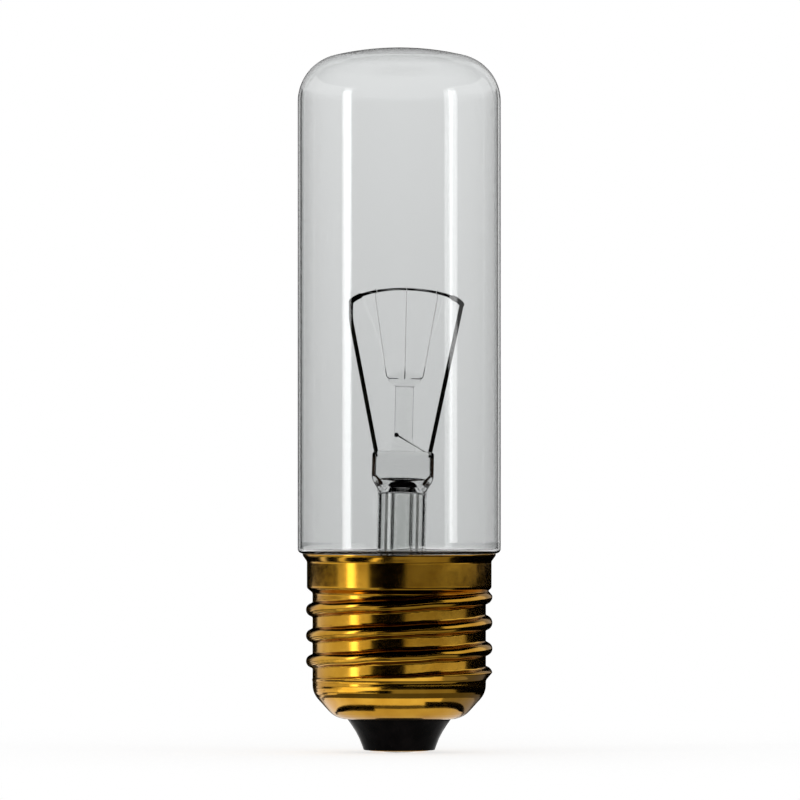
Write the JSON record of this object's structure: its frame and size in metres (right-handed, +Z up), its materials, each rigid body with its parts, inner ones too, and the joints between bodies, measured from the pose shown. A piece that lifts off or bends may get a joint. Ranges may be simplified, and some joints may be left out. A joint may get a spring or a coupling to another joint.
{
  "type": "tubular light bulb",
  "caption": "Clear tubular incandescent light bulb with a domed glass tube, a glass stem that holds a bowed filament between two leads, and a threaded brass screw cap.",
  "frame": {"origin": "centre of the flat on the contact solder, the lowest point of the lamp, on the cap's axis", "axes": "+Z up along the lamp's axis from the cap to the dome, +X along the spread of the two leads, -Y towards the viewer of the picture"},
  "size_m": [0.0288, 0.0288, 0.1],
  "materials": {
    "clear_glass": "clear, fire-polished",
    "brass": "bright drawn brass",
    "black_glass": "glossy black glass",
    "nickel": "dull drawn nickel wire",
    "copper": "drawn copper-clad wire",
    "tungsten": "dark tungsten wire",
    "solder": "smooth dull solder",
    "cement": "matt cured cement"
  },
  "bodies": {
    "root": {"glass_envelope": "clear_glass", "stem_tube": "clear_glass", "exhaust_tube": "clear_glass", "button_rod": "clear_glass", "lead_wire_left": "nickel", "lead_wire_right": "nickel", "seal_wire_left": "copper", "seal_wire_right": "copper", "outer_lead_shell": "copper", "outer_lead_contact": "copper", "filament": "tungsten", "getter_pin": "nickel", "support_wire_left": "tungsten", "support_wire_centre": "tungsten", "support_wire_right": "tungsten", "screw_shell": "brass", "cap_insulator": "black_glass", "contact_plate": "brass", "contact_solder": "solder", "rim_solder": "solder", "basing_cement": "cement"}
  },
  "joints": []
}
